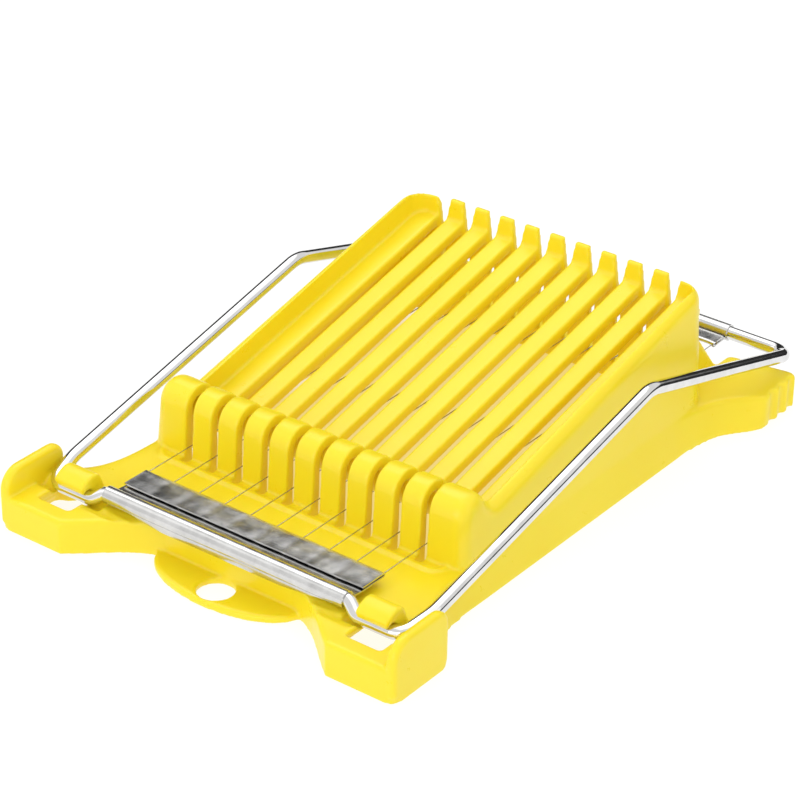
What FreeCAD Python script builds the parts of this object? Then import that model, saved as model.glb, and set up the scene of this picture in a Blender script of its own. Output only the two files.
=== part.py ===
import FreeCAD, Part
import math
import os

os.makedirs("parts", exist_ok=True)

V = FreeCAD.Vector

# Wire-frame slicer: a one-piece moulded base and a hinged rod frame that carries ten wires.
# Millimetres, +X across the wires, +Y from the hinge end to the lifting end, +Z up.
# The origin is on the floor at the middle of the overall length and width.

# ---- wires and slots
WIRE_COUNT = 10
WIRE_PITCH = 9.0
WIRE_R = 0.2
WIRE_Z = 13.35
SLOT_WIDTH_POST = 2.4
SLOT_WIDTH_BAR = 3.0
TOOTH_GAP_TOP = 4.4
SLOT_WIDTH_REAR = 1.7
WIRE_X = [(i - (WIRE_COUNT - 1) / 2) * WIRE_PITCH for i in range(WIRE_COUNT)]
BED_HALF = WIRE_X[-1] + SLOT_WIDTH_POST / 2

# ---- front and rear decks
DECK_Z = 10.3
DECK_WALL = 2.6
DECK_EDGE_R = 1.0
EAR_HALF = 67.5
EAR_FRONT_Y = -99.5
EAR_REAR_Y = -76.4
EAR_INNER_X = 45.5
DECK_FRONT_Y = -83.2
DECK_REAR_Y = 79.0
SIDE_HALF_FLOOR = 56.8
SIDE_HALF_DECK = 53.8
FOOT_HALF = 67.0
FOOT_INNER_X = 44.7
FOOT_REAR_Y = 94.0
FLUTE_Y = (80.5, 85.5, 90.5)
FLUTE_R = 2.4
FLUTE_DEPTH = 1.1

# ---- raised body between the decks
BODY_FRONT_Y = -53.0
BODY_REAR_Y = 65.8
BODY_WALL = 2.3
BODY_TOP_Z = 45.6
HORN_Z = 46.1
SIDE_HALF_TOP = 51.8
RAIL_EDGE_R = 4.0
BODY_CORNER_R = 8.0
BED_Z_MID = 25.19
BED_SLOPE = 0.226
BAR_THICK = 2.4
LIP_FRONT_Y = -35.0
LIP_Z_FRONT = 23.7
LIP_SLOPE = 0.24
LIP_BLEND_R = 4.0
HORN_BLEND_R = 30.0
POST_LEAN = 1.2
POST_THICK = 3.3
HUMP_R = 6.2
HUMP_Z = 23.6
TOOTH_THICK = 2.2
GUSSET_THICK = 2.2

# ---- hinge, hooks and ear details
HINGE_Y = -86.3
HINGE_Z = 11.2
ROD_R = 2.0
HOOK_BORE_R = 2.07
HOOK_X = (46.5, 57.0)
HOOK_FLARE = (56.1, 2.95)
HOOK_REACH = 7.3
WINDOW_X = (47.4, 58.5)
WINDOW_FRONT_Y = -93.5
GUARD_INNER_X = 64.3
GUARD_TOP_Z = 18.0
GUARD_FRONT_R = 6.5
GUARD_REAR_R = 4.4
ROD_CLEARANCE = 0.4
CORNER_WELL_X = (55.0, 64.2)
JOGGLE_WELL_X = (41.5, 46.4)
CLAMP_WELL_X = (20.0, 46.3)
SWING_MAX = 95.0
SWEEP_STEPS = 9
RIDGE_Y = -56.6
RIDGE_R = 1.3

# ---- hanging tab
TAB_HALF_X = 24.5
TAB_REACH = 12.4
TAB_THICK = 2.2
TAB_HOLE_R = 5.2
TAB_HOLE_Y = -88.5

# ---- frame rod
ARM_X = 61.8
TUBE_Y = -84.7
TUBE_Z = 13.5
JOGGLE_X = (41.9, 45.4)
JOGGLE_R = 3.0
HINGE_CORNER_X = 59.4
HINGE_CORNER_R = 4.4
ARM_STRAIGHT_Y = -76.0
ARM_EASE_R = 20.0
ARM_PEAK = (21.0, 35.7)
ARM_PEAK_R = 12.0
REAR_ROD_Y = 97.0
REAR_ROD_Z = 13.7
FRAME_CORNER_R = 6.0

# ---- wire clamps
CLAMP_HALF = 41.0
CLAMP_R = 2.5
CLAMP_FLANGE_Y = -69.0
CLAMP_FOLD_Y = -78.2
CLAMP_REACH_REAR = 8.7
SHEET = 0.45
LEAF_GAP = 0.5
SKIRT_HALF = (20.0, 38.0)
SKIRT_FRONT_Y = -87.1
SKIRT_LOW_Z = 9.8


def bed_z(y):
    """Height of the sloping bed at a given depth."""
    return BED_Z_MID + BED_SLOPE * y


def box(x, y, z):
    """Box from three (low, high) pairs."""
    return Part.makeBox(x[1] - x[0], y[1] - y[0], z[1] - z[0], V(x[0], y[0], z[0]))


def mirrored(shape):
    """The shape together with its mirror image across the middle plane."""
    return [shape, shape.mirror(V(0, 0, 0), V(1, 0, 0))]


def line(a, b):
    return Part.LineSegment(a, b).toShape()


def arc(a, m, b):
    return Part.Arc(a, m, b).toShape()


def spline(points):
    curve = Part.BSplineCurve()
    curve.interpolate(points)
    return curve.toShape()


def side_profile(edges, x0, x1):
    """Solid from a closed outline in the YZ plane, spanning x0..x1."""
    face = Part.Face(Part.Wire(edges))
    face.translate(V(x0, 0, 0))
    return face.extrude(V(x1 - x0, 0, 0))


# ------------------------------------------------------------------ deck outline
def half_outline(side_half, inset, z):
    """Right-hand half of the deck outline, front middle to rear middle, as edges."""
    front = DECK_FRONT_Y + inset
    ear_front = EAR_FRONT_Y + inset
    ear_side = EAR_HALF - inset
    ear_rear = EAR_REAR_Y - inset
    side = side_half - inset
    foot_side = FOOT_HALF - inset
    foot_rear = FOOT_REAR_Y - inset
    rear = DECK_REAR_Y - inset
    inner = FOOT_INNER_X + inset
    shift = inset * 0.9
    corner = max(3.0 - inset, 0.4)
    k = corner * (1 - math.sqrt(0.5))
    ear_curve = [V(22 + inset * 0.4, front, z), V(30.8 + shift, -87.2 + shift * 0.6, z),
                 V(38.5 + shift, -93.6 + shift * 0.6, z), V(EAR_INNER_X + shift, ear_front, z)]
    flare_front = [V(ear_side - 2.0, ear_rear, z), V(side + 6.6, -74.6 - inset, z),
                   V(side + 2.9, -69.6, z), V(side + 0.7, -61.5, z), V(side, -51.0, z)]
    flare_rear = [V(side, 47.0, z), V(side + 0.9, 57.0, z), V(side + 3.6, 65.6 + shift, z),
                  V(side + 7.6, 71.0 + shift, z), V(foot_side, 76.0 + shift, z)]
    edges = [line(V(0, front, z), ear_curve[0]), spline(ear_curve)]
    edges.append(line(ear_curve[-1], V(ear_side - corner, ear_front, z)))
    edges.append(arc(V(ear_side - corner, ear_front, z), V(ear_side - k, ear_front + k, z),
                     V(ear_side, ear_front + corner, z)))
    edges.append(line(V(ear_side, ear_front + corner, z), V(ear_side, ear_rear - 2.0, z)))
    edges.append(arc(V(ear_side, ear_rear - 2.0, z), V(ear_side - 0.586, ear_rear - 0.586, z),
                     V(ear_side - 2.0, ear_rear, z)))
    edges.append(spline(flare_front))
    edges.append(line(flare_front[-1], flare_rear[0]))
    edges.append(spline(flare_rear))
    edges.append(line(flare_rear[-1], V(foot_side, foot_rear - corner, z)))
    edges.append(arc(V(foot_side, foot_rear - corner, z), V(foot_side - k, foot_rear - k, z),
                     V(foot_side - corner, foot_rear, z)))
    edges.append(line(V(foot_side - corner, foot_rear, z), V(inner + 2.0, foot_rear - 2.6, z)))
    edges.append(arc(V(inner + 2.0, foot_rear - 2.6, z), V(inner + 0.5, foot_rear - 3.3, z),
                     V(inner, foot_rear - 4.8, z)))
    edges.append(line(V(inner, foot_rear - 4.8, z), V(inner, rear + 5.2, z)))
    edges.append(spline([V(inner, rear + 5.2, z), V(inner - 9.0, rear + 1.4, z),
                         V(inner - 20.0, rear, z)]))
    edges.append(line(V(inner - 20.0, rear, z), V(0, rear, z)))
    return edges


def outline(side_half, inset, z):
    """Closed deck outline, symmetric about the middle plane."""
    right = half_outline(side_half, inset, z)
    left = [e.mirror(V(0, 0, 0), V(1, 0, 0)) for e in right]
    return Part.Wire(Part.__sortEdges__(right + left))


def deck_block(inset, z_low, z_high):
    """Solid deck with sides that lean in from the floor to the deck top."""
    def side_at(z):
        return SIDE_HALF_FLOOR + (SIDE_HALF_DECK - SIDE_HALF_FLOOR) * z / DECK_Z
    low = outline(side_at(z_low), inset, z_low)
    high = outline(side_at(z_high), inset, z_high)
    return Part.makeLoft([low, high], True, True)


# ------------------------------------------------------------------ raised body
def envelope(inset, y0, y1, corners):
    """Leaning-sided block that bounds the raised body; corners pairs a depth with a radius."""
    low_z = 6.0
    lean = (SIDE_HALF_DECK - SIDE_HALF_TOP) / (BODY_TOP_Z - DECK_Z)
    low = SIDE_HALF_DECK + lean * (DECK_Z - low_z) - inset
    high_z = BODY_TOP_Z + 10.0
    high = SIDE_HALF_DECK - lean * (high_z - DECK_Z) - inset
    points = [V(-low, y0, low_z), V(low, y0, low_z), V(high, y0, high_z), V(-high, y0, high_z)]
    solid = Part.Face(Part.makePolygon(points + points[:1])).extrude(V(0, y1 - y0, 0))
    for y, radius in corners:
        upright = []
        for edge in solid.Edges:
            a, b = edge.Vertexes[0].Point, edge.Vertexes[1].Point
            if abs(a.y - y) < 0.01 and abs(b.y - y) < 0.01 and abs(a.z - b.z) > 5:
                upright.append(edge)
        solid = solid.makeFillet(radius, upright)
    return solid


def hump_points(offset):
    """Key points of the post and its rounded top, moved in by offset from the outside."""
    radius = HUMP_R - offset
    foot_y = BODY_FRONT_Y + offset
    lean_y = BODY_FRONT_Y + POST_LEAN + offset
    centre_y = BODY_FRONT_Y + POST_LEAN + HUMP_R
    back = math.radians(-12.0)
    left = V(0, lean_y, HUMP_Z)
    top = V(0, centre_y, HUMP_Z + radius)
    right = V(0, centre_y + radius * math.cos(back), HUMP_Z + radius * math.sin(back))
    return foot_y, left, top, right


def fin_outline():
    """Outer side outline of the posts, bed and teeth."""
    foot_y, left, top, right = hump_points(0)
    valley_y = right.y + 4.6
    valley = V(0, valley_y, bed_z(valley_y))
    middle = V(0, right.y + 1.0, valley.z + 2.0)
    tooth_y = BODY_REAR_Y - TOOTH_THICK
    bed_end = V(0, tooth_y, bed_z(tooth_y))
    tooth_top = V(0, tooth_y + 0.5, BODY_TOP_Z)
    rear_top = V(0, BODY_REAR_Y, BODY_TOP_Z)
    floor_front = V(0, foot_y, 6.0)
    floor_rear = V(0, BODY_REAR_Y, 6.0)
    return [line(floor_front, left), arc(left, top, right), arc(right, middle, valley),
            line(valley, bed_end), line(bed_end, tooth_top), line(tooth_top, rear_top),
            line(rear_top, floor_rear), line(floor_rear, floor_front)]


def hollow_outline():
    """Side outline of the space under the posts, bed and teeth."""
    foot_y, left, top, right = hump_points(POST_THICK)
    valley_y = right.y + 3.4
    valley = V(0, valley_y, bed_z(valley_y) - BAR_THICK)
    middle = V(0, right.y + 0.7, valley.z + 2.6)
    rear_y = BODY_REAR_Y - TOOTH_THICK
    rear_top = V(0, rear_y, bed_z(rear_y) - BAR_THICK)
    floor_front = V(0, foot_y, -1.0)
    floor_rear = V(0, rear_y, -1.0)
    return [line(floor_front, left), arc(left, top, right), arc(right, middle, valley),
            line(valley, rear_top), line(rear_top, floor_rear), line(floor_rear, floor_front)]


def lip_z(y):
    """Height of the lip line at a given depth."""
    return LIP_Z_FRONT + LIP_SLOPE * (y - LIP_FRONT_Y)


def rail_outline():
    """Side outline of the two outer rails: hump, lip line and level rear horn, all tangent."""
    foot_y, left, top = hump_points(0)[:3]
    theta = math.atan(LIP_SLOPE)
    y_low, y_high = top.y, top.y + 40.0
    for step in range(60):
        y = (y_low + y_high) / 2
        rise_z = lip_z(y) + LIP_BLEND_R / math.cos(theta) - HUMP_Z
        if math.hypot(y - top.y, rise_z) < HUMP_R + LIP_BLEND_R:
            y_low = y
        else:
            y_high = y
    blend = V(0, y, lip_z(y) + LIP_BLEND_R / math.cos(theta))
    toward = (blend - V(0, top.y, HUMP_Z)).normalize()
    shoulder = V(0, top.y, HUMP_Z) + toward * HUMP_R
    lip = blend + V(0, math.sin(theta), -math.cos(theta)) * LIP_BLEND_R
    dip = blend - ((blend - shoulder).normalize() + (blend - lip).normalize()).normalize() * \
        LIP_BLEND_R
    meet_y = LIP_FRONT_Y + (HORN_Z - LIP_Z_FRONT) / LIP_SLOPE
    reach = HORN_BLEND_R * math.tan(theta / 2)
    start = V(0, meet_y - reach * math.cos(theta), HORN_Z - reach * math.sin(theta))
    end = V(0, meet_y + reach, HORN_Z)
    crown = V(0, end.y - HORN_BLEND_R * math.sin(theta / 2),
              HORN_Z - HORN_BLEND_R * (1 - math.cos(theta / 2)))
    rear_top = V(0, BODY_REAR_Y, HORN_Z)
    floor_front = V(0, foot_y, 6.0)
    floor_rear = V(0, BODY_REAR_Y, 6.0)
    return [line(floor_front, left), arc(left, top, shoulder), arc(shoulder, dip, lip),
            line(lip, start), arc(start, crown, end), line(end, rear_top),
            line(rear_top, floor_rear), line(floor_rear, floor_front)]


def bed_recess():
    """The food space above the bed, between the lips, humps and teeth."""
    top, right = hump_points(0)[2:]
    bend = math.radians(40.0)
    shoulder = V(0, top.y + HUMP_R * math.cos(bend), HUMP_Z + HUMP_R * math.sin(bend))
    valley_y = right.y + 4.6
    valley = V(0, valley_y, bed_z(valley_y))
    middle = V(0, right.y + 1.0, valley.z + 2.0)
    tooth_y = BODY_REAR_Y - TOOTH_THICK
    tooth_foot = V(0, tooth_y, bed_z(tooth_y))
    tooth_top = V(0, tooth_y + 0.5, BODY_TOP_Z)
    high = BODY_TOP_Z + 20.0
    half = SIDE_HALF_TOP - BODY_WALL
    edges = [line(V(0, top.y, high), top), arc(top, shoulder, right),
             arc(right, middle, valley), line(valley, tooth_foot),
             line(tooth_foot, tooth_top), line(tooth_top, V(0, tooth_top.y, high)),
             line(V(0, tooth_top.y, high), V(0, top.y, high))]
    space = side_profile(edges, -half, half)
    plan = box((-half, half), (-70.0, tooth_y + 0.5), (-5.0, high + 5.0))
    upright = []
    for edge in plan.Edges:
        a, b = edge.Vertexes[0].Point, edge.Vertexes[1].Point
        if abs(a.z - b.z) > 5 and a.y > 0:
            upright.append(edge)
    return space.common(plan.makeFillet(BODY_CORNER_R - BODY_WALL, upright))


def slots():
    """One slot per wire through posts, bed and teeth, opening to a V between the teeth."""
    cutters = []
    half_post = SLOT_WIDTH_POST / 2
    half_bar = SLOT_WIDTH_BAR / 2
    half_rear = SLOT_WIDTH_REAR / 2
    tooth_y = BODY_REAR_Y - TOOTH_THICK
    knee_z = bed_z(tooth_y) - 3.0
    for x in WIRE_X:
        cutters.append(box((x - half_post, x + half_post), (-54.6, -37.0), (5.0, 60.0)))
        cutters.append(box((x - half_bar, x + half_bar), (-38.0, tooth_y + 0.2), (5.0, 60.0)))
        cutters.append(box((x - half_rear, x + half_rear), (tooth_y - 1.0, BODY_REAR_Y + 2.4),
                           (DECK_Z + 0.4, 60.0)))
        vee = [V(x - half_rear, 60.0, knee_z), V(x + half_rear, 60.0, knee_z),
               V(x + TOOTH_GAP_TOP / 2, 60.0, BODY_TOP_Z + 0.5),
               V(x - TOOTH_GAP_TOP / 2, 60.0, BODY_TOP_Z + 0.5)]
        cutters.append(Part.Face(Part.makePolygon(vee + vee[:1])).extrude(V(0, 10.0, 0)))
    return cutters


def raised_body():
    """Posts, bed bars, rails, lips and rear teeth as one hollow moulding."""
    outer = envelope(0, BODY_FRONT_Y - 3.0, BODY_REAR_Y, [(BODY_REAR_Y, BODY_CORNER_R)])
    rails = outer.common(side_profile(rail_outline(), -70.0, 70.0))
    lips = [e for e in rails.Edges if e.Length > 80.0 and e.BoundBox.ZLength > 10.0]
    rails = rails.makeFillet(RAIL_EDGE_R, [e for e in lips if abs(e.CenterOfMass.x) > 50.0])
    fins = outer.common(side_profile(fin_outline(), -BED_HALF, BED_HALF))
    body = rails.fuse(fins).cut(bed_recess())
    front_y, rear_y = BODY_FRONT_Y + 2.0, BODY_REAR_Y - TOOTH_THICK
    inner = envelope(BODY_WALL, front_y, rear_y,
                     [(front_y, 3.0), (rear_y, BODY_CORNER_R - TOOTH_THICK)])
    under = inner.common(side_profile(hollow_outline(), -70.0, 70.0))
    return body.cut(under)


def gussets():
    """Triangular webs that tie the rear wall to the rear deck."""
    top_z = 33.5
    toe_y = 83.4
    edges = [line(V(0, BODY_REAR_Y - 0.5, 8.5), V(0, BODY_REAR_Y - 0.5, top_z)),
             line(V(0, BODY_REAR_Y - 0.5, top_z), V(0, toe_y, DECK_Z)),
             line(V(0, toe_y, DECK_Z), V(0, toe_y, 8.5)),
             line(V(0, toe_y, 8.5), V(0, BODY_REAR_Y - 0.5, 8.5))]
    web = side_profile(edges, FOOT_INNER_X - GUSSET_THICK, FOOT_INNER_X)
    return mirrored(web)


# ------------------------------------------------------------------ ears, hooks and tab
def guard():
    """Raised wall on the outer edge of the right ear, rounded at both ends."""
    front, rear, top = EAR_FRONT_Y, EAR_REAR_Y, GUARD_TOP_Z
    big, small = GUARD_FRONT_R, GUARD_REAR_R
    cut = 1 - math.sqrt(0.5)
    edges = [line(V(0, front, 2.0), V(0, front, top - big)),
             arc(V(0, front, top - big), V(0, front + big * cut, top - big * cut),
                 V(0, front + big, top)),
             line(V(0, front + big, top), V(0, rear - small, top)),
             arc(V(0, rear - small, top), V(0, rear - small * cut, top - small * cut),
                 V(0, rear, top - small)),
             line(V(0, rear, top - small), V(0, rear, 2.0)),
             line(V(0, rear, 2.0), V(0, front, 2.0))]
    wall = side_profile(edges, GUARD_INNER_X, EAR_HALF)
    rim = []
    for edge in wall.Edges:
        middle = edge.CenterOfMass
        flat = abs(edge.BoundBox.XLength) < 0.01
        if flat and middle.z > DECK_Z and edge.BoundBox.YLength > 2.0:
            rim.append(edge)
    return wall.makeFillet(1.2, rim)


def rod_solid(points, radii, radius):
    """Round rod along straight runs joined by circular bends of the given radii."""
    pieces = []
    start = points[0]
    for i in range(1, len(points) - 1):
        before, here, after = points[i - 1], points[i], points[i + 1]
        a = (before - here).normalize()
        b = (after - here).normalize()
        half = a.getAngle(b) / 2
        reach = radii[i - 1] / math.tan(half)
        t0 = here + a * reach
        t1 = here + b * reach
        centre = here + (a + b).normalize() * (radii[i - 1] / math.sin(half))
        run = t0 - start
        pieces.append(Part.makeCylinder(radius, run.Length, start, run))
        axis = (t0 - centre).cross(t1 - centre).normalize()
        section = Part.Face(Part.Wire(Part.makeCircle(radius, t0, a)))
        pieces.append(section.revolve(centre, axis, math.degrees(math.pi - 2 * half)))
        start = t1
    run = points[-1] - start
    pieces.append(Part.makeCylinder(radius, run.Length, start, run))
    solid = pieces[0]
    for piece in pieces[1:]:
        solid = solid.fuse(piece)
    return solid.removeSplitter()


def arm_z(y):
    """Height of the arm's centre line between the hinge run and its peak."""
    slope = (ARM_PEAK[1] - HINGE_Z) / (ARM_PEAK[0] - HINGE_Y)
    return HINGE_Z + slope * (y - HINGE_Y)


def hinge_path():
    """Right-hand centre line from the clamped run through the joggle and corner to the peak."""
    return [V(JOGGLE_X[0], TUBE_Y, TUBE_Z), V(JOGGLE_X[1], HINGE_Y, HINGE_Z),
            V(HINGE_CORNER_X, HINGE_Y, HINGE_Z), V(ARM_X, ARM_STRAIGHT_Y, arm_z(ARM_STRAIGHT_Y)),
            V(ARM_X, ARM_PEAK[0], ARM_PEAK[1])]


def hook():
    """Right-hand hook: a thick curl from the deck over the rod, open at the front."""
    def at(dy, dz):
        return V(0, HINGE_Y + dy, HINGE_Z + dz)

    mouth = math.radians(150.0)
    deck = DECK_Z - HINGE_Z - 0.4
    low = DECK_Z - HINGE_Z - DECK_WALL
    tip = at(-2.7, 3.3)
    lip = at(HOOK_BORE_R * math.cos(mouth), HOOK_BORE_R * math.sin(mouth))
    outer = [tip, at(-1.0, 4.8), at(1.1, 5.7), at(3.2, 5.85), at(4.9, 4.7), at(5.7, 3.0),
             at(6.5, 1.1), at(HOOK_REACH, deck)]
    edges = [spline(outer), line(at(HOOK_REACH, deck), at(HOOK_REACH, low)),
             line(at(HOOK_REACH, low), at(HOOK_BORE_R, low)),
             line(at(HOOK_BORE_R, low), at(HOOK_BORE_R, 0)),
             arc(at(HOOK_BORE_R, 0), at(0, HOOK_BORE_R), lip), line(lip, tip)]
    curl = side_profile(edges, HOOK_X[0], HOOK_X[1])
    rim = [e for e in curl.Edges if e.Length > 14.0 and e.BoundBox.XLength < 0.1]
    curl = curl.makeFillet(0.5, rim)
    flare_x, flare_r = HOOK_FLARE
    flare = Part.makeCone(HOOK_BORE_R, flare_r, HOOK_X[1] + 0.1 - flare_x,
                          V(flare_x, HINGE_Y, HINGE_Z), V(1, 0, 0))
    return curl.cut(flare)


def well(radius, span, y, z):
    """Round well along X, as a cutter."""
    return Part.makeCylinder(radius, span[1] - span[0], V(span[0], y, z), V(1, 0, 0))


def ear_cutters():
    """Rod groove, wells for the turning corner and joggle, window, and sweep of the clamp."""
    radius = ROD_R + ROD_CLEARANCE
    path = [V(CLAMP_HALF - 1.0, TUBE_Y, TUBE_Z)] + hinge_path()
    groove = rod_solid(path, [JOGGLE_R, JOGGLE_R, HINGE_CORNER_R, ARM_EASE_R], radius)
    corner = well(radius + 0.2, CORNER_WELL_X, HINGE_Y, HINGE_Z)
    joggle = well(radius + 0.1, JOGGLE_WELL_X, HINGE_Y, HINGE_Z)
    window = box(WINDOW_X, (WINDOW_FRONT_Y, HINGE_Y + HOOK_BORE_R + 0.01), (-1.0, 30.0))
    skirt_r = math.hypot(SKIRT_FRONT_Y - HINGE_Y, SKIRT_LOW_Z - HINGE_Z) + ROD_CLEARANCE
    full, end = SKIRT_HALF
    skirt = Part.makeCone(skirt_r, HINGE_Y - SKIRT_FRONT_Y + ROD_CLEARANCE, end + 1.0 - full,
                          V(full, HINGE_Y, HINGE_Z), V(1, 0, 0))
    cutters = [groove, corner, joggle, window, skirt]
    offset = math.hypot(TUBE_Y - HINGE_Y, TUBE_Z - HINGE_Z)
    start = math.degrees(math.atan2(TUBE_Z - HINGE_Z, TUBE_Y - HINGE_Y))
    for step in range(SWEEP_STEPS + 1):
        angle = math.radians(start + SWING_MAX * step / SWEEP_STEPS)
        y = HINGE_Y + offset * math.cos(angle)
        z = HINGE_Z + offset * math.sin(angle)
        cutters.append(well(CLAMP_R + ROD_CLEARANCE, CLAMP_WELL_X, y, z))
    return cutters


def tab():
    """Hanging tab with its hole, at the middle of the front edge."""
    y = DECK_FRONT_Y + 0.5
    ellipse = Part.Ellipse(V(0, y, 0), TAB_HALF_X, TAB_REACH).toShape()
    plate = Part.Face(Part.Wire(ellipse)).extrude(V(0, 0, TAB_THICK))
    plate = plate.makeFillet(0.6, plate.Edges[:1] + plate.Edges[-1:])
    plate = plate.common(box((-40, 40), (y - 30, y + 0.6), (-1, 5)))
    hole = Part.makeCylinder(TAB_HOLE_R, TAB_THICK + 2, V(0, TAB_HOLE_Y, -1))
    return plate.cut(hole)


def ridge():
    """Low half-round bead across the front deck, curving back at its ends."""
    z = DECK_Z - RIDGE_R + 0.7
    bend = 4.0
    half = 49.0
    points = [V(-half, RIDGE_Y + 5.0, z), V(-half, RIDGE_Y, z), V(half, RIDGE_Y, z),
              V(half, RIDGE_Y + 5.0, z)]
    return rod_solid(points, [bend, bend], RIDGE_R)


def make_base():
    """One-piece moulded base."""
    deck = deck_block(0, 0, DECK_Z)
    top_rim = [e for e in deck.Edges if e.BoundBox.ZMin > DECK_Z - 0.01]
    deck = deck.makeFillet(DECK_EDGE_R, top_rim)
    shell = deck.cut(deck_block(DECK_WALL, -1.0, DECK_Z - DECK_WALL))
    opening = box((-SIDE_HALF_DECK + BODY_WALL, SIDE_HALF_DECK - BODY_WALL),
                  (BODY_FRONT_Y + POST_THICK, BODY_REAR_Y - TOOTH_THICK), (-1.0, DECK_Z + 1.0))
    shell = shell.cut(opening)
    base = shell.fuse(raised_body())
    for web in gussets():
        base = base.fuse(web)
    base = base.fuse(ridge().common(box((-60, 60), (-60, -50), (DECK_Z - 1.5, 20))))
    base = base.fuse(tab())
    for wall in mirrored(guard()):
        base = base.fuse(wall)
    for cutter in ear_cutters():
        for side in mirrored(cutter):
            base = base.cut(side)
    base = base.cut(slots()[0].fuse(slots()[1:]))
    for y in FLUTE_Y:
        centre = FOOT_HALF + FLUTE_R - FLUTE_DEPTH
        groove = Part.makeCylinder(FLUTE_R, DECK_Z + 2, V(centre, y, -1))
        for side in mirrored(groove):
            base = base.cut(side)
    for curl in mirrored(hook()):
        base = base.fuse(curl)
    return base.removeSplitter()


# ------------------------------------------------------------------ frame
def make_rod():
    """Closed loop of round rod: hinge lines, arms, tails and rear bar."""
    right = [V(0, TUBE_Y, TUBE_Z)] + hinge_path()
    right += [V(ARM_X, REAR_ROD_Y, REAR_ROD_Z), V(0, REAR_ROD_Y, REAR_ROD_Z)]
    radii = [JOGGLE_R, JOGGLE_R, HINGE_CORNER_R, ARM_EASE_R, ARM_PEAK_R, FRAME_CORNER_R]
    halves = mirrored(rod_solid(right, radii, ROD_R))
    return halves[0].fuse(halves[1]).removeSplitter()


def clamp_section(tube_y, tube_z, edge_y, fold_y):
    """Rolled sheet around the rod, a lower leaf to the edge and a folded-back upper leaf."""
    toward = 1.0 if edge_y > tube_y else -1.0
    low = (WIRE_Z - LEAF_GAP / 2 - SHEET, WIRE_Z - LEAF_GAP / 2)
    high = (WIRE_Z + LEAF_GAP / 2, WIRE_Z + LEAF_GAP / 2 + SHEET)
    length = 2 * CLAMP_HALF
    start = V(-CLAMP_HALF, tube_y, tube_z)
    ring = Part.makeCylinder(CLAMP_R, length, start, V(1, 0, 0))
    root_y = tube_y + toward * (CLAMP_R - 0.35)
    span = (-CLAMP_HALF, CLAMP_HALF)
    fold_r = LEAF_GAP / 2 + SHEET
    bend_y = edge_y - toward * fold_r
    lower = box(span, tuple(sorted((root_y, bend_y))), low)
    upper = box(span, tuple(sorted((fold_y, bend_y))), high)
    outer = Part.makeCylinder(fold_r, length, V(-CLAMP_HALF, bend_y, WIRE_Z), V(1, 0, 0))
    inner = Part.makeCylinder(LEAF_GAP / 2, length, V(-CLAMP_HALF, bend_y, WIRE_Z), V(1, 0, 0))
    beyond = tuple(sorted((bend_y, edge_y + toward * 1.0)))
    hem = outer.cut(inner).common(box(span, beyond, (WIRE_Z - 2, WIRE_Z + 2)))
    clamp = ring.fuse([lower, upper, hem])
    bore = Part.makeCylinder(ROD_R + 0.02, length + 2, start - V(1, 0, 0), V(1, 0, 0))
    clamp = clamp.cut(bore)
    for x in WIRE_X:
        hole = Part.makeCylinder(WIRE_R + 0.02, 30.0, V(x, min(edge_y, fold_y) - 5, WIRE_Z),
                                 V(0, 1, 0))
        near = box((x - 1, x + 1), tuple(sorted((bend_y - toward * 1.0, edge_y + toward))),
                   (WIRE_Z - 1, WIRE_Z + 1))
        clamp = clamp.cut(hole.common(near))
    return clamp.removeSplitter()


def make_front_clamp():
    """Clamp on the hinge side, with a narrow strip of its sheet hanging in front of the rod."""
    clamp = clamp_section(TUBE_Y, TUBE_Z, CLAMP_FLANGE_Y, CLAMP_FOLD_Y)
    full, end = SKIRT_HALF
    high = TUBE_Z - 0.9
    points = [V(-end, SKIRT_FRONT_Y, high), V(-end, SKIRT_FRONT_Y, high - 0.6),
              V(-full, SKIRT_FRONT_Y, SKIRT_LOW_Z), V(full, SKIRT_FRONT_Y, SKIRT_LOW_Z),
              V(end, SKIRT_FRONT_Y, high - 0.6), V(end, SKIRT_FRONT_Y, high)]
    strip = Part.Face(Part.makePolygon(points + points[:1])).extrude(V(0, SHEET, 0))
    bore = Part.makeCylinder(ROD_R + 0.2, 2 * CLAMP_HALF, V(-CLAMP_HALF, TUBE_Y, TUBE_Z),
                             V(1, 0, 0))
    return clamp.fuse(strip.cut(bore)).removeSplitter()


def make_rear_clamp():
    edge_y = REAR_ROD_Y - CLAMP_REACH_REAR
    return clamp_section(REAR_ROD_Y, REAR_ROD_Z, edge_y, edge_y + 5.2)


def make_wire(x):
    """Straight cutting wire held between the two clamps."""
    front = CLAMP_FOLD_Y + 0.6
    rear = REAR_ROD_Y - CLAMP_REACH_REAR + 4.8
    return Part.makeCylinder(WIRE_R, rear - front, V(x, front, WIRE_Z), V(0, 1, 0))


def export(name, shape):
    shape.exportStep(os.path.join("parts", name + ".step"))


export("base", make_base())
export("frame_rod", make_rod())
export("front_wire_clamp", make_front_clamp())
export("rear_wire_clamp", make_rear_clamp())
for number, wire_x in enumerate(WIRE_X, start=1):
    export("cutting_wire_%02d" % number, make_wire(wire_x))
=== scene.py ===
import math
import bmesh
import bpy
from mathutils import Matrix, Vector, noise


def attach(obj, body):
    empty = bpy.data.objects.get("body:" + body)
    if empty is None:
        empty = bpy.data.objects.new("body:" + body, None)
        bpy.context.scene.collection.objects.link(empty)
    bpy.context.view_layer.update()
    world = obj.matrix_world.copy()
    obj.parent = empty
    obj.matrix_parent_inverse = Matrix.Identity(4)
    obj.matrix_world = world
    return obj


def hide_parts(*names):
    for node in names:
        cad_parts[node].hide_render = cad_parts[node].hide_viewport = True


# Looks of the wire food slicer: moulded base, bright rod frame, rolled clamps and wires.
# Shapes are worked out in millimetres and turned into metres when a mesh is made.

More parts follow.
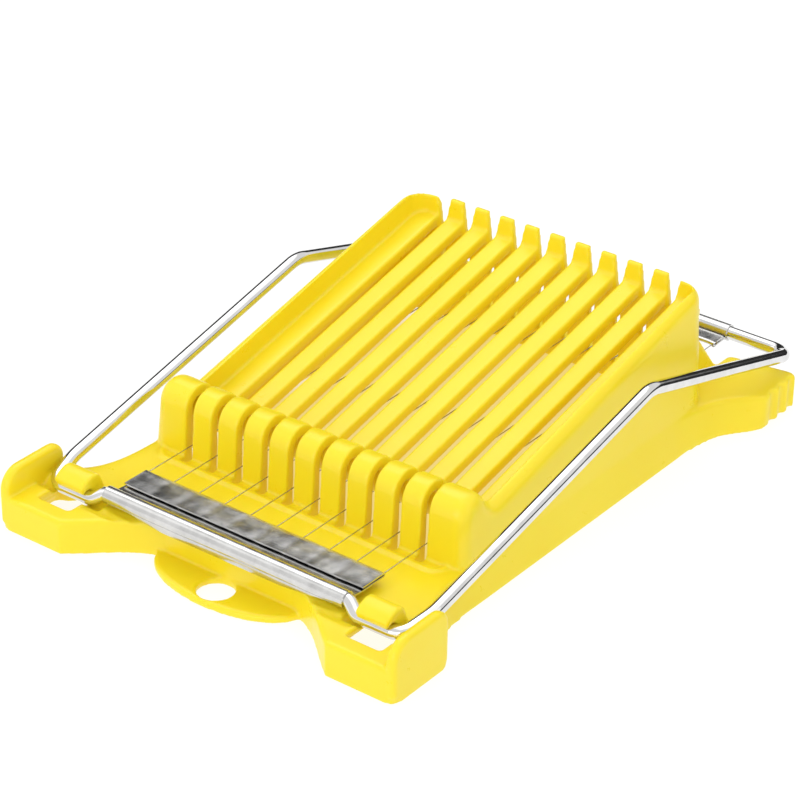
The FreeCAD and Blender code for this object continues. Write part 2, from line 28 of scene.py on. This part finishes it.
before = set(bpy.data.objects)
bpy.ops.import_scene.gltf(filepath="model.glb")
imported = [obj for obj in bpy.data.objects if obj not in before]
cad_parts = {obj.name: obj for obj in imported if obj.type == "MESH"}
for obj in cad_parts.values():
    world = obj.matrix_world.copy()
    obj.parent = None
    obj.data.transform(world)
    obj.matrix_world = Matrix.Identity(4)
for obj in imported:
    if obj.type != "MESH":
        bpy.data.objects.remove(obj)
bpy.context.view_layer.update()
MM = 0.001
BODY_BASE = "base_body"
BODY_FRAME = "wire_frame"

# ------------------------------------------------------------ rod, mm
ROD_R = 2.0
ROD_SIDES = 28
TUBE = (-84.7, 13.5)
HINGE = (-86.3, 11.2)
JOGGLE_X = (41.9, 45.4)
HINGE_CORNER_X = 59.4
ARM_X = 61.8
ARM_STRAIGHT_Y = -76.0
ARM_PEAK = (21.0, 35.7)
REAR_ROD = (97.0, 13.7)
BEND_RADII = [3.0, 3.0, 4.4, 20.0, 12.0, 6.0]
BEND_STEP = 0.4
RUN_STEP = 2.5

# ------------------------------------------------------------ wires, mm
WIRE_COUNT = 10
WIRE_PITCH = 9.0
WIRE_Z = 13.35
WIRE_R = 0.16
WIRE_SIDES = 10
WIRE_STEP = 4.0
WIRE_GRIP = 0.7
WIRE_X = [(i - (WIRE_COUNT - 1) / 2) * WIRE_PITCH for i in range(WIRE_COUNT)]
CURL_R = 0.95
CURL_LEAD = 1.6
CURL_START = -170
CURL_SWEEP = 250
CURL_POINTS = 15
CURL_SHIFT = 0.055

# ------------------------------------------------------------ clamps, mm
CLAMP_HALF = 41.0
CLAMP_R = 2.5
CLAMP_STATIONS = 206
SHEET = 0.45
RING_START = -22
RING_SWEEP = -323
RING_POINTS = 45
ROOT_BLEND = ((0.16, 0.22), (0.42, 0.05))
ROOT_REACH = 0.75
LEAF_GAP = 0.5
LEAF_RISE = 0.10
LEAF_POINTS = 9
LEAF_EDGE_FRONT = -69.0
LEAF_FOLD_FRONT = -78.2
LEAF_EDGE_REAR = 88.3
LEAF_FOLD_REAR = 93.5
SKIRT_HALF = (20.0, 38.0)
SKIRT_Y = -86.87
SKIRT_Z = (12.6, 10.3)
SKIRT_CURL = 0.60
SKIRT_END = 0.6
SKIRT_WAVE = 0.06
SKIRT_STATIONS = 78
SKIRT_ROWS = 5
DENT_EASE = 3.0
DENT_WIDTH = 1.5
DENT_DROP = 0.05
DENT_PULL = 0.10
CREASE_ANGLE = 40

# ------------------------------------------------------------ base, mm
BED_Z_MID = 25.19
BED_SLOPE = 0.226
BAR_RUN = (-37.0, 64.4)
BAR_DEPTH = (1.2, 3.7)
BAR_HALF = 2.99
LEDGE_X = (42.01, 50.0)
WELD = 0.01
VOXEL = 0.45

# ------------------------------------------------------------ studio
FLOOR_HALF = 6000.0
FLOOR_Z = -0.2
FLOOR_GLOW = 0.84
# Painted shade on the floor: the box under the tool and the warm tint of the floor's glow there.
SHADE_X = 57.0
SHADE_Y = (-50.0, 79.0)
SHADE_EDGE = 5.0
SHADE_TINT = (0.86, 0.66, 0.22)
SKY_LIGHT = 0.88
SKY_DARK = 0.03
PANEL_X = (-0.72, 0.20)
PANEL_TOP = (0.60, 0.26)
PANEL_BLUR = 0.07
PANEL_Y = (0.15, 0.35)
CARDS = (
    # name, centre, size, aim, watts
    ("overhead", (0.1, 0.15, 1.5), (1.6, 1.6), (0, 0, 0), 3.7),
    ("back_left", (-0.72, 0.60, 1.50), (1.3, 0.75), (0, 0, 0), 4.8),
    ("left", (-1.3, -0.7, 0.9), (0.9, 1.2), (0, 0, 0.02), 1.6),
    ("front", (0.2, -1.5, 0.5), (1.2, 0.6), (0, 0, 0.02), 4.2),
    ("right", (1.5, 0.2, 0.8), (0.8, 1.2), (0, 0, 0.02), 1.2),
)
CAMERA_AZIMUTH = 37.194
CAMERA_ELEVATION = 29.832
CAMERA_ROLL = 0.755
CAMERA_PLACE = (0.4443, -0.5951, 0.4453)
CAMERA_SENSOR = 36.0
CAMERA_LENS = 137.8
CAMERA_CLIP = (0.05, 50.0)


# ------------------------------------------------------------ mesh helpers
def add_object(name, mesh):
    obj = bpy.data.objects.new(name, mesh)
    bpy.context.scene.collection.objects.link(obj)
    return obj


def mesh_from(name, verts, faces, smooth=True):
    mesh = bpy.data.meshes.new(name)
    mesh.from_pydata([Vector(v) * MM for v in verts], [], faces)
    mesh.update()
    if smooth:
        mesh.polygons.foreach_set("use_smooth", [True] * len(mesh.polygons))
    return add_object(name, mesh)


def applied(obj):
    """Replaces the object's mesh with its modified one."""
    graph = bpy.context.evaluated_depsgraph_get()
    graph.update()
    made = bpy.data.meshes.new_from_object(obj.evaluated_get(graph))
    obj.modifiers.clear()
    obj.data = made
    return obj


def bent_path(points, radii, step):
    """Points along straight runs joined by circular bends."""
    path = [points[0]]
    for i in range(1, len(points) - 1):
        here = points[i]
        a = (points[i - 1] - here).normalized()
        b = (points[i + 1] - here).normalized()
        half = a.angle(b) / 2
        reach = radii[i - 1] / math.tan(half)
        centre = here + (a + b).normalized() * (radii[i - 1] / math.sin(half))
        u = here + a * reach - centre
        v = here + b * reach - centre
        turn = math.pi - 2 * half
        count = max(3, int(radii[i - 1] * turn / step))
        for k in range(count + 1):
            t = k / count
            weighted = u * math.sin((1 - t) * turn) + v * math.sin(t * turn)
            path.append(centre + weighted / math.sin(turn))
    path.append(points[-1])
    return path


def resampled(path, step):
    """Adds points so that no run is longer than the step."""
    out = [path[0]]
    for a, b in zip(path, path[1:]):
        count = max(1, math.ceil((b - a).length / step))
        out += [a.lerp(b, k / count) for k in range(1, count + 1)]
    return out


def frames(path, closed):
    """Parallel-transported side and up vectors along a path."""
    count = len(path)
    tangents = []
    for i in range(count):
        a = path[(i - 1) % count] if closed or i > 0 else path[i]
        b = path[(i + 1) % count] if closed or i < count - 1 else path[i]
        tangents.append((b - a).normalized())
    side = tangents[0].cross(Vector((0, 0.13, 1))).normalized()
    out = []
    for t in tangents:
        side = (side - t * side.dot(t)).normalized()
        out.append((side, t.cross(side)))
    return out


def tube(name, path, radius, sides=24, closed=False):
    """Round tube along a path; radius may be a number or a function of the point."""
    verts, faces = [], []
    basis = frames(path, closed)
    for p, (s, u) in zip(path, basis):
        r = radius(p) if callable(radius) else radius
        for k in range(sides):
            a = 2 * math.pi * k / sides
            verts.append(p + (s * math.cos(a) + u * math.sin(a)) * r)
    rings = len(path)
    last = rings if closed else rings - 1
    offset = 0
    if closed:
        s0, u0 = basis[0]
        s1, u1 = basis[-1]
        twist = math.atan2(s1.dot(u0), s1.dot(s0))
        offset = round(twist / (2 * math.pi) * sides)
    for i in range(last):
        j = (i + 1) % rings
        shift = offset if j == 0 else 0
        for k in range(sides):
            a = i * sides + k
            b = i * sides + (k + 1) % sides
            c = j * sides + (k + 1 + shift) % sides
            d = j * sides + (k + shift) % sides
            faces.append((a, b, c, d))
    if not closed:
        faces.append(tuple(reversed(range(sides))))
        faces.append(tuple(range((rings - 1) * sides, rings * sides)))
    return mesh_from(name, verts, faces)


# ------------------------------------------------------------ node helpers
class Nodes:
    """Short form for building a node tree."""

    def __init__(self, tree):
        self.tree = tree

    def add(self, kind, **values):
        node = self.tree.nodes.new(kind)
        for key, value in values.items():
            setattr(node, key, value)
        return node

    def link(self, a, b):
        self.tree.links.new(a, b)

    def coords(self, scale=(1, 1, 1)):
        where = self.add("ShaderNodeTexCoord")
        mapping = self.add("ShaderNodeMapping")
        mapping.inputs["Scale"].default_value = scale
        self.link(where.outputs["Object"], mapping.inputs["Vector"])
        return mapping.outputs[0]

    def noise(self, vector, scale, detail=2.0, rough=0.5):
        node = self.add("ShaderNodeTexNoise")
        node.inputs["Scale"].default_value = scale
        node.inputs["Detail"].default_value = detail
        node.inputs["Roughness"].default_value = rough
        self.link(vector, node.inputs["Vector"])
        return node.outputs["Fac"]

    def ramp(self, fac, stops):
        node = self.add("ShaderNodeValToRGB")
        elements = node.color_ramp.elements
        while len(elements) < len(stops):
            elements.new(0.5)
        for element, (at, colour) in zip(elements, stops):
            element.position = at
            element.color = (*colour, 1.0) if len(colour) == 3 else colour
        self.link(fac, node.inputs[0])
        return node.outputs[0]

    def split(self, vector):
        node = self.add("ShaderNodeSeparateXYZ")
        self.link(vector, node.inputs[0])
        return node.outputs

    def span(self, fac, low, high, start=0.0, end=1.0, shape="LINEAR"):
        node = self.add("ShaderNodeMapRange", interpolation_type=shape)
        node.inputs["From Min"].default_value = start
        node.inputs["From Max"].default_value = end
        node.inputs["To Min"].default_value = low
        node.inputs["To Max"].default_value = high
        self.link(fac, node.inputs["Value"])
        return node.outputs[0]

    def maths(self, operation, a, b):
        node = self.add("ShaderNodeMath", operation=operation)
        for socket, value in zip(node.inputs, (a, b)):
            if isinstance(value, (int, float)):
                socket.default_value = value
            else:
                self.link(value, socket)
        return node.outputs[0]

    def bump(self, height, strength, distance, before=None):
        node = self.add("ShaderNodeBump")
        node.inputs["Strength"].default_value = strength
        node.inputs["Distance"].default_value = distance
        self.link(height, node.inputs["Height"])
        if before is not None:
            self.link(before, node.inputs["Normal"])
        return node.outputs[0]


class Surface(Nodes):
    """A new material with one principled shader."""

    def __init__(self, name):
        self.material = bpy.data.materials.new(name)
        self.material.use_nodes = True
        super().__init__(self.material.node_tree)
        self.tree.nodes.clear()
        output = self.add("ShaderNodeOutputMaterial")
        self.shader = self.add("ShaderNodeBsdfPrincipled")
        self.link(self.shader.outputs[0], output.inputs[0])

    def feed(self, output, name):
        self.link(output, self.shader.inputs[name])

    def set(self, name, value):
        self.shader.inputs[name].default_value = value


def yellow_plastic():
    n = Surface("yellow_moulded_plastic")
    where = n.coords()
    broad = n.noise(where, 30.0, 3.0)
    colour = n.ramp(broad, [(0.30, (0.900, 0.715, 0.011)), (0.70, (0.920, 0.745, 0.018))])
    n.feed(colour, "Base Color")
    cloud = n.noise(where, 130.0, 4.0, 0.6)
    specks = n.noise(where, 2600.0, 2.0, 0.7)
    rough = n.maths("ADD", n.span(cloud, 0.27, 0.38, 0.3, 0.7), n.span(specks, -0.03, 0.03))
    n.feed(rough, "Roughness")
    peel = n.noise(where, 900.0, 2.0)
    scratch = n.noise(n.coords((1.0, 0.05, 1.0)), 1500.0, 3.0, 0.6)
    first = n.bump(peel, 0.05, 0.0001)
    second = n.bump(scratch, 0.04, 0.0001, first)
    n.feed(second, "Normal")
    n.set("IOR", 1.50)
    n.set("Subsurface Weight", 0.30)
    n.set("Subsurface Radius", (1.0, 0.62, 0.10))
    n.set("Subsurface Scale", 0.0020)
    return n.material


def bright_rod():
    n = Surface("bright_plated_rod")
    where = n.coords()
    patch = n.noise(where, 160.0, 4.0, 0.6)
    colour = n.ramp(patch, [(0.30, (0.70, 0.695, 0.69)), (0.72, (0.82, 0.815, 0.81))])
    n.feed(colour, "Base Color")
    fine = n.noise(where, 1900.0, 3.0, 0.7)
    rough = n.maths("ADD", n.span(patch, 0.05, 0.10, 0.3, 0.7), n.span(fine, -0.02, 0.02))
    n.feed(rough, "Roughness")
    draw = n.noise(n.coords((1.0, 0.03, 1.0)), 1400.0, 2.0)
    wave = n.noise(where, 60.0, 1.0)
    first = n.bump(wave, 0.10, 0.0003)
    n.feed(n.bump(draw, 0.05, 0.0001, first), "Normal")
    n.set("Metallic", 1.0)
    return n.material


def sheet_steel():
    n = Surface("bright_rolled_sheet")
    where = n.coords()
    patch = n.noise(where, 190.0, 4.0, 0.65)
    colour = n.ramp(patch, [(0.28, (0.58, 0.575, 0.565)), (0.72, (0.74, 0.735, 0.725))])
    n.feed(colour, "Base Color")
    scuff = n.noise(n.coords((0.25, 1.0, 1.0)), 900.0, 4.0, 0.7)
    rough = n.maths("ADD", n.span(patch, 0.15, 0.25, 0.3, 0.7), n.span(scuff, -0.04, 0.06))
    n.feed(rough, "Roughness")
    dent = n.noise(where, 75.0, 1.0)
    roll = n.noise(n.coords((0.04, 1.0, 1.0)), 2200.0, 2.0)
    first = n.bump(dent, 0.16, 0.0005)
    n.feed(n.bump(roll, 0.06, 0.0001, first), "Normal")
    n.set("Metallic", 1.0)
    return n.material


def drawn_wire():
    n = Surface("drawn_wire_steel")
    where = n.coords()
    patch = n.noise(where, 420.0, 3.0)
    colour = n.ramp(patch, [(0.3, (0.36, 0.34, 0.31)), (0.7, (0.55, 0.53, 0.50))])
    n.feed(colour, "Base Color")
    n.feed(n.span(patch, 0.16, 0.30, 0.3, 0.7), "Roughness")
    n.feed(n.bump(n.noise(where, 3000.0, 2.0), 0.1, 0.00005), "Normal")
    n.set("Metallic", 1.0)
    return n.material


# ------------------------------------------------------------ base
def bar_keels():
    """Closed slabs that deepen the bed bars and the two ledges, following the bed's slope."""
    middles = [(a + b) / 2 for a, b in zip(WIRE_X, WIRE_X[1:])]
    spans = [(x - BAR_HALF, x + BAR_HALF) for x in middles]
    spans += [LEDGE_X, (-LEDGE_X[1], -LEDGE_X[0])]
    sides = ((0, 2, 3, 1), (4, 5, 7, 6), (0, 1, 5, 4), (2, 6, 7, 3), (0, 4, 6, 2), (1, 3, 7, 5))
    verts, faces = [], []
    for low_x, high_x in spans:
        first = len(verts)
        for y in BAR_RUN:
            for depth in BAR_DEPTH:
                z = BED_Z_MID + BED_SLOPE * y - depth
                verts += [(low_x, y, z), (high_x, y, z)]
        faces += [tuple(first + k for k in side) for side in sides]
    return verts, faces


def moulded_base():
    """The base with every edge softly rounded, as a moulding has."""
    obj = add_object("moulded_base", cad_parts["base"].data.copy())
    obj.data.materials.clear()
    bm = bmesh.new()
    bm.from_mesh(obj.data)
    verts, faces = bar_keels()
    corners = [bm.verts.new(Vector(v) * MM) for v in verts]
    keels = [bm.faces.new([corners[k] for k in face]) for face in faces]
    bmesh.ops.recalc_face_normals(bm, faces=keels)
    bm.to_mesh(obj.data)
    bm.free()
    weld = obj.modifiers.new("weld", "WELD")
    weld.merge_threshold = WELD * MM
    voxel = obj.modifiers.new("voxel", "REMESH")
    voxel.mode = "VOXEL"
    voxel.voxel_size = VOXEL * MM
    voxel.use_smooth_shade = True
    soften = obj.modifiers.new("soften", "SMOOTH")
    soften.factor = 0.5
    soften.iterations = 10
    thin = obj.modifiers.new("thin", "DECIMATE")
    thin.ratio = 0.30
    applied(obj)
    obj.data.materials.append(PLASTIC)
    obj.data.polygons.foreach_set("use_smooth", [True] * len(obj.data.polygons))
    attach(obj, BODY_BASE)
    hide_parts("base")
    print("base faces", len(obj.data.polygons))
    return obj


# ------------------------------------------------------------ frame rod
def bent_frame():
    slope = (ARM_PEAK[1] - HINGE[1]) / (ARM_PEAK[0] - HINGE[0])
    straight_z = HINGE[1] + slope * (ARM_STRAIGHT_Y - HINGE[0])
    half = [Vector((JOGGLE_X[0], *TUBE)), Vector((JOGGLE_X[1], *HINGE)),
            Vector((HINGE_CORNER_X, *HINGE)), Vector((ARM_X, ARM_STRAIGHT_Y, straight_z)),
            Vector((ARM_X, *ARM_PEAK)), Vector((ARM_X, *REAR_ROD))]
    flip = [Vector((-p.x, p.y, p.z)) for p in half]
    points = [Vector((0, *TUBE))] + half + flip[::-1] + [Vector((0, *TUBE))]
    bends = bent_path(points, BEND_RADII + BEND_RADII[::-1], BEND_STEP)
    path = resampled(bends, RUN_STEP)[:-1]
    obj = tube("bent_rod_frame", path, ROD_R, ROD_SIDES, closed=True)
    obj.data.materials.append(ROD_STEEL)
    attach(obj, BODY_FRAME)
    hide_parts("frame_rod")
    return obj


# ------------------------------------------------------------ clamps
def clamp_path(tube_y, tube_z, edge_y, fold_y):
    """Centre line of the sheet in the YZ plane, from the ring's seam to the fold's end."""
    toward = 1.0 if edge_y > tube_y else -1.0
    r = CLAMP_R - SHEET / 2
    line = []
    for k in range(RING_POINTS):
        a = math.radians(RING_START + RING_SWEEP * k / (RING_POINTS - 1))
        line.append((tube_y + toward * r * math.cos(a), tube_z + r * math.sin(a)))
    low = WIRE_Z - LEAF_GAP / 2 - SHEET / 2
    high = WIRE_Z + LEAF_GAP / 2 + SHEET / 2
    hem = (high - low) / 2
    bend_y = edge_y - toward * (hem + SHEET / 2)
    start = tube_y + toward * (r + ROOT_REACH)
    root = low + LEAF_RISE * max(0.0, (fold_y - start) * toward)
    for out, lift in ROOT_BLEND:
        line.append((tube_y + toward * (r + out), root + lift))
    for k in range(LEAF_POINTS):
        y = start + (bend_y - start) * k / (LEAF_POINTS - 1)
        open_leaf = max(0.0, (fold_y - y) * toward)
        line.append((y, low + LEAF_RISE * open_leaf))
    for k in range(1, LEAF_POINTS):
        a = -math.pi / 2 + math.pi * k / LEAF_POINTS
        line.append((bend_y + toward * hem * math.cos(a), WIRE_Z + hem * math.sin(a)))
    for k in range(LEAF_POINTS):
        line.append((bend_y + (fold_y - bend_y) * k / (LEAF_POINTS - 1), high))
    return line


def hang_skirt(verts, faces):
    """Narrow strip of the rolled sheet that hangs below the front of the tube."""
    full, reach = SKIRT_HALF
    first = len(verts)
    stations = SKIRT_STATIONS
    down = range(SKIRT_ROWS)
    top_z, full_z = SKIRT_Z
    for s in range(stations):
        x = -reach + 2 * reach * s / (stations - 1)
        taper = max(0.0, (abs(x) - full) / (reach - full))
        low_z = full_z + (top_z - SKIRT_END - full_z) * taper
        low_z += SKIRT_WAVE * noise.noise(Vector((x * 0.2, 0, 9.0)))
        for side in (-0.5, 0.5):
            for k in down if side < 0 else reversed(down):
                t = k / (SKIRT_ROWS - 1)
                y = SKIRT_Y + SKIRT_CURL * t * t
                verts.append((x, y + side * SHEET, top_z + (low_z - top_z) * t))
    ring = 2 * SKIRT_ROWS
    for s in range(stations - 1):
        for i in range(ring):
            j = (i + 1) % ring
            a, b = first + s * ring, first + (s + 1) * ring
            faces.append((a + i, a + j, b + j, b + i))
    faces.append(tuple(first + i for i in range(ring)))
    faces.append(tuple(first + (stations - 1) * ring + i for i in reversed(range(ring))))


def rolled_clamp(name, node, section, leaf_from, toward, seed, skirt=False):
    """Sheet of even thickness swept along X with crimp dents over each wire."""
    count = len(section)
    normals = []
    for i in range(count):
        a = section[max(0, i - 1)]
        b = section[min(count - 1, i + 1)]
        d = Vector((b[0] - a[0], b[1] - a[1])).normalized()
        normals.append((-d.y, d.x))
    stations = CLAMP_STATIONS
    verts, faces = [], []
    for s in range(stations):
        x = -CLAMP_HALF + 2 * CLAMP_HALF * s / (stations - 1)
        for side in (1, -1):
            order = range(count) if side == 1 else range(count - 1, -1, -1)
            for i in order:
                y, z = section[i]
                y += side * normals[i][0] * SHEET / 2
                z += side * normals[i][1] * SHEET / 2
                dy, dz = dent(x, y, leaf_from, toward, seed)
                verts.append((x, y + dy, z + dz))
    ring = 2 * count
    for s in range(stations - 1):
        for i in range(ring):
            j = (i + 1) % ring
            faces.append((s * ring + i, s * ring + j, (s + 1) * ring + j, (s + 1) * ring + i))
    for base, flip in ((0, False), ((stations - 1) * ring, True)):
        for i in range(count - 1):
            quad = (base + i, base + i + 1, base + ring - 2 - i, base + ring - 1 - i)
            faces.append(quad[::-1] if not flip else quad)
    if skirt:
        hang_skirt(verts, faces)
    obj = mesh_from(name, verts, faces)
    soften_normals(obj)
    obj.data.materials.append(SHEET_STEEL)
    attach(obj, BODY_FRAME)
    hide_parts(node)
    return obj


def dent(x, y, leaf_from, toward, seed):
    """Small shift of the sheet: press marks at the wires and hand-rolled waviness."""
    out = (y - leaf_from) * toward
    leaf = min(1.0, max(0.0, out / DENT_EASE))
    wobble = noise.noise(Vector((x * 0.11, out * 0.25, seed)))
    ripple = noise.noise(Vector((x * 0.42, out * 0.5, seed + 7.0)))
    dz = leaf * (0.08 * wobble + 0.02 * ripple)
    dy = leaf * 0.12 * noise.noise(Vector((x * 0.2, 3.0, seed)))
    for wire in WIRE_X:
        gap = (x - wire) / DENT_WIDTH
        if abs(gap) < 3.0:
            dz -= leaf * DENT_DROP * math.exp(-gap * gap)
            dy += leaf * toward * DENT_PULL * math.exp(-gap * gap)
    return dy, dz


def soften_normals(obj):
    """Smooth shading that keeps the sheet's cut edges crisp."""
    obj.data.update()
    bm = bmesh.new()
    bm.from_mesh(obj.data)
    bmesh.ops.recalc_face_normals(bm, faces=bm.faces)
    for edge in bm.edges:
        if len(edge.link_faces) == 2 and edge.calc_face_angle() > math.radians(CREASE_ANGLE):
            edge.smooth = False
    bm.to_mesh(obj.data)
    bm.free()


# ------------------------------------------------------------ wires
def cutting_wire(index, x):
    """Taut wire whose rear end curls round the clamp's lip."""
    lip = LEAF_EDGE_REAR + WIRE_GRIP
    path = [Vector((x, LEAF_FOLD_FRONT + WIRE_GRIP, WIRE_Z)), Vector((x, lip - CURL_LEAD, WIRE_Z))]
    for k in range(CURL_POINTS):
        a = math.radians(CURL_START + CURL_SWEEP * k / (CURL_POINTS - 1))
        out = Vector((CURL_SHIFT * k, CURL_R * math.cos(a), CURL_R * math.sin(a)))
        path.append(Vector((x, lip, WIRE_Z)) + out)
    path = resampled(path, WIRE_STEP)
    obj = tube(f"taut_wire_{index:02d}", path, WIRE_R, WIRE_SIDES)
    obj.data.materials.append(WIRE_STEEL)
    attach(obj, BODY_FRAME)
    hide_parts(f"cutting_wire_{index:02d}")
    return obj


# ------------------------------------------------------------ studio
def card(name, centre, size, aim, watts):
    """Soft rectangular light."""
    light = bpy.data.lights.new(name, "AREA")
    light.shape = "RECTANGLE"
    light.size, light.size_y = size
    light.energy = watts
    obj = add_object(name, light)
    obj.location = centre
    obj.rotation_mode = "QUATERNION"
    obj.rotation_quaternion = (Vector(aim) - Vector(centre)).to_track_quat("-Z", "Y")
    obj.visible_camera = False
    return obj


def studio_sky():
    """Even white surround with a low dark panel behind the tool, taller on the left."""
    world = bpy.data.worlds.new("studio")
    bpy.context.scene.world = world
    world.use_nodes = True
    n = Nodes(world.node_tree)
    x, y, z = n.split(n.add("ShaderNodeTexCoord").outputs["Generated"])
    top = n.span(x, *PANEL_TOP, *PANEL_X, "SMOOTHSTEP")
    over = n.maths("SUBTRACT", z, top)
    below = n.span(over, 1.0, 0.0, -PANEL_BLUR, PANEL_BLUR, "SMOOTHSTEP")
    behind = n.span(y, 0.0, 1.0, *PANEL_Y, "SMOOTHSTEP")
    dark = n.maths("MULTIPLY", below, behind)
    colour, strength = world.node_tree.nodes["Background"].inputs[:2]
    colour.default_value = (1.0, 1.0, 1.0, 1.0)
    n.link(n.span(dark, SKY_LIGHT, SKY_DARK, 0.0, 1.0, "SMOOTHSTEP"), strength)


def floor_paper():
    """Pale glowing floor with painted shade under the tool: its glow is tinted warm there, in
    place of the shadow and the yellow light through its plastic.
    """
    n = Surface("pale_floor")
    where = n.coords()
    grain = n.noise(where, 3.0, 2.0)
    n.feed(n.ramp(grain, [(0.3, (0.20, 0.20, 0.20)), (0.7, (0.22, 0.22, 0.22))]), "Base Color")
    n.set("Roughness", 0.9)
    n.set("Specular IOR Level", 0.1)
    n.set("Emission Strength", FLOOR_GLOW)
    x, y, z = n.split(where)

    def inside(value, edge, toward):
        return n.span(value, 0.0, 1.0, edge * MM, (edge + toward * SHADE_EDGE) * MM)

    side = inside(n.maths("ABSOLUTE", x, 0.0), SHADE_X, -1)
    front = inside(y, SHADE_Y[0], 1)
    rear = inside(y, SHADE_Y[1], -1)
    # Painted shade: the glow turns warm yellow-brown under the raised body, in place of its shadow
    # and the light that passes through and bounces off its plastic.
    painted_shade_under = n.maths("MULTIPLY", side, n.maths("MULTIPLY", front, rear))
    n.feed(n.ramp(painted_shade_under, [(0.0, (1.0, 1.0, 1.0)), (1.0, SHADE_TINT)]), "Emission Color")
    return n.material


def studio():
    h = FLOOR_HALF
    corners = [(-h, -h, FLOOR_Z), (h, -h, FLOOR_Z), (h, h, FLOOR_Z), (-h, h, FLOOR_Z)]
    floor = mesh_from("floor", corners, [(0, 1, 2, 3)])
    floor.data.materials.append(floor_paper())
    studio_sky()
    for row in CARDS:
        card(*row)


def camera():
    angles = (CAMERA_AZIMUTH, CAMERA_ELEVATION, CAMERA_ROLL)
    azimuth, elevation, roll = (math.radians(v) for v in angles)
    back = Vector((math.sin(azimuth) * math.cos(elevation),
                   -math.cos(azimuth) * math.cos(elevation), math.sin(elevation)))
    right = Vector((math.cos(azimuth), math.sin(azimuth), 0.0))
    up = back.cross(right)
    x = right * math.cos(roll) + up * math.sin(roll)
    y = up * math.cos(roll) - right * math.sin(roll)
    data = bpy.data.cameras.new("camera")
    data.sensor_width = CAMERA_SENSOR
    data.lens = CAMERA_LENS
    data.clip_start, data.clip_end = CAMERA_CLIP
    obj = add_object("camera", data)
    pose = Matrix((x, y, back)).transposed().to_4x4()
    pose.translation = Vector(CAMERA_PLACE)
    obj.matrix_world = pose
    bpy.context.scene.camera = obj


PLASTIC = yellow_plastic()
ROD_STEEL = bright_rod()
SHEET_STEEL = sheet_steel()
WIRE_STEEL = drawn_wire()
moulded_base()
bent_frame()
front_section = clamp_path(*TUBE, LEAF_EDGE_FRONT, LEAF_FOLD_FRONT)
rear_section = clamp_path(*REAR_ROD, LEAF_EDGE_REAR, LEAF_FOLD_REAR)
rolled_clamp("front_clamp", "front_wire_clamp", front_section, TUBE[0] + CLAMP_R, 1.0, 2.0, True)
rolled_clamp("rear_clamp", "rear_wire_clamp", rear_section, REAR_ROD[0] - CLAMP_R, -1.0, 5.0)
for number, wire_x in enumerate(WIRE_X, 1):
    cutting_wire(number, wire_x)
studio()
camera()
bpy.context.scene.view_settings.view_transform = "Standard"
